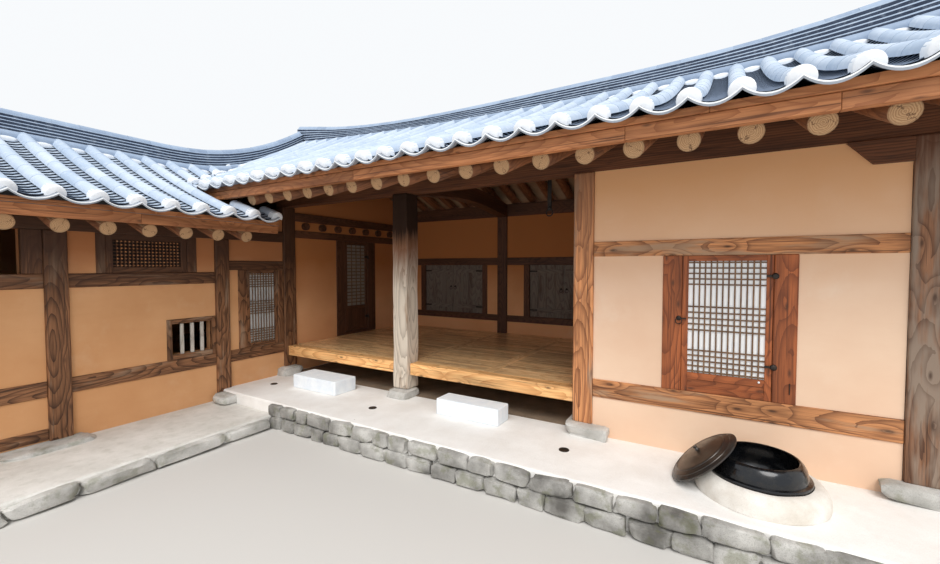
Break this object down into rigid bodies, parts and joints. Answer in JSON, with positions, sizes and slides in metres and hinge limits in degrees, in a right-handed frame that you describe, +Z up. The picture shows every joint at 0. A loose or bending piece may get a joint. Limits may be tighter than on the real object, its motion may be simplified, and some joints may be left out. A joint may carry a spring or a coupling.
{
  "type": "hanok house",
  "caption": "L-shaped timber hanok house: tiled main block with open wooden hall and room, lower tiled wing, stone platforms, outdoor cauldron hearth.",
  "frame": {"origin": "centre of the footprint of the whole house, roof overhangs included, at ground level", "axes": "+X to the right along the main front, +Y from the courtyard front to the back, +Z up"},
  "size_m": [12.1, 9.65, 4.87],
  "materials": {
    "timber": "oiled pine, reddish brown, open grain",
    "old_timber": "weathered pine, pale grey",
    "planks": "golden oiled floor boards",
    "plaster": "ochre earth plaster, matt",
    "paper": "white mulberry paper behind timber lattice",
    "tile": "blue-grey fired clay roof tile",
    "stone": "weathered field stone and pale mortar",
    "granite": "sawn pale granite",
    "clay": "hearth clay, matt",
    "cast_iron": "oiled black cast iron",
    "iron_lid": "brown-grey cast iron"
  },
  "bodies": {
    "house": {"main_platform": "stone", "wing_platform": "stone", "step_stone_left": "granite", "step_stone_right": "granite", "cauldron": "cast_iron", "hearth_mound": "clay", "cauldron_lid": "iron_lid", "corner_post": "timber", "hall_post": "old_timber", "room_post_left": "timber", "room_post_right": "timber", "front_beam": "timber", "hall_cross_beam": "timber", "ridge_purlin": "timber", "hall_floor": "planks", "room_floor": "planks", "wing_floor": "planks", "room_front_wall": "plaster", "room_front_frame": "timber", "room_window": "paper", "hall_side_wall_front": "plaster", "hall_side_wall_back": "plaster", "hall_side_wall_over": "plaster", "hall_door_frame": "timber", "room_side_wall": "plaster", "room_door": "timber", "end_wall": "plaster", "end_wall_frame": "timber", "back_frame": "timber", "back_wall_left": "plaster", "back_wall_middle": "plaster", "back_wall_right": "plaster", "shutters_left": "timber", "shutters_right": "timber", "wing_court_wall": "plaster", "wing_court_frame": "timber", "wing_court_beam": "timber", "open_window_post_left": "timber", "open_window_post_right": "timber", "wing_slat_window": "timber", "wing_lattice_window": "timber", "wing_upper_window": "timber", "wing_outer_wall": "plaster", "wing_outer_frame": "timber", "main_rafters": "timber", "wing_rafters": "timber", "main_roof": "tile", "wing_roof": "tile", "main_ridge": "tile", "wing_ridge": "tile", "hip_ridge": "tile", "main_barge_board": "timber", "wing_barge_board": "timber"},
    "side_door": {"hall_door": "timber"}
  },
  "joints": [
    {"name": "side_door_hinge", "type": "hinge", "parent": "house", "child": "side_door", "pos_m": [-2.29, 2.337, 1.6], "axis": [0, 0, 1], "range_deg": [0, 100]}
  ]
}
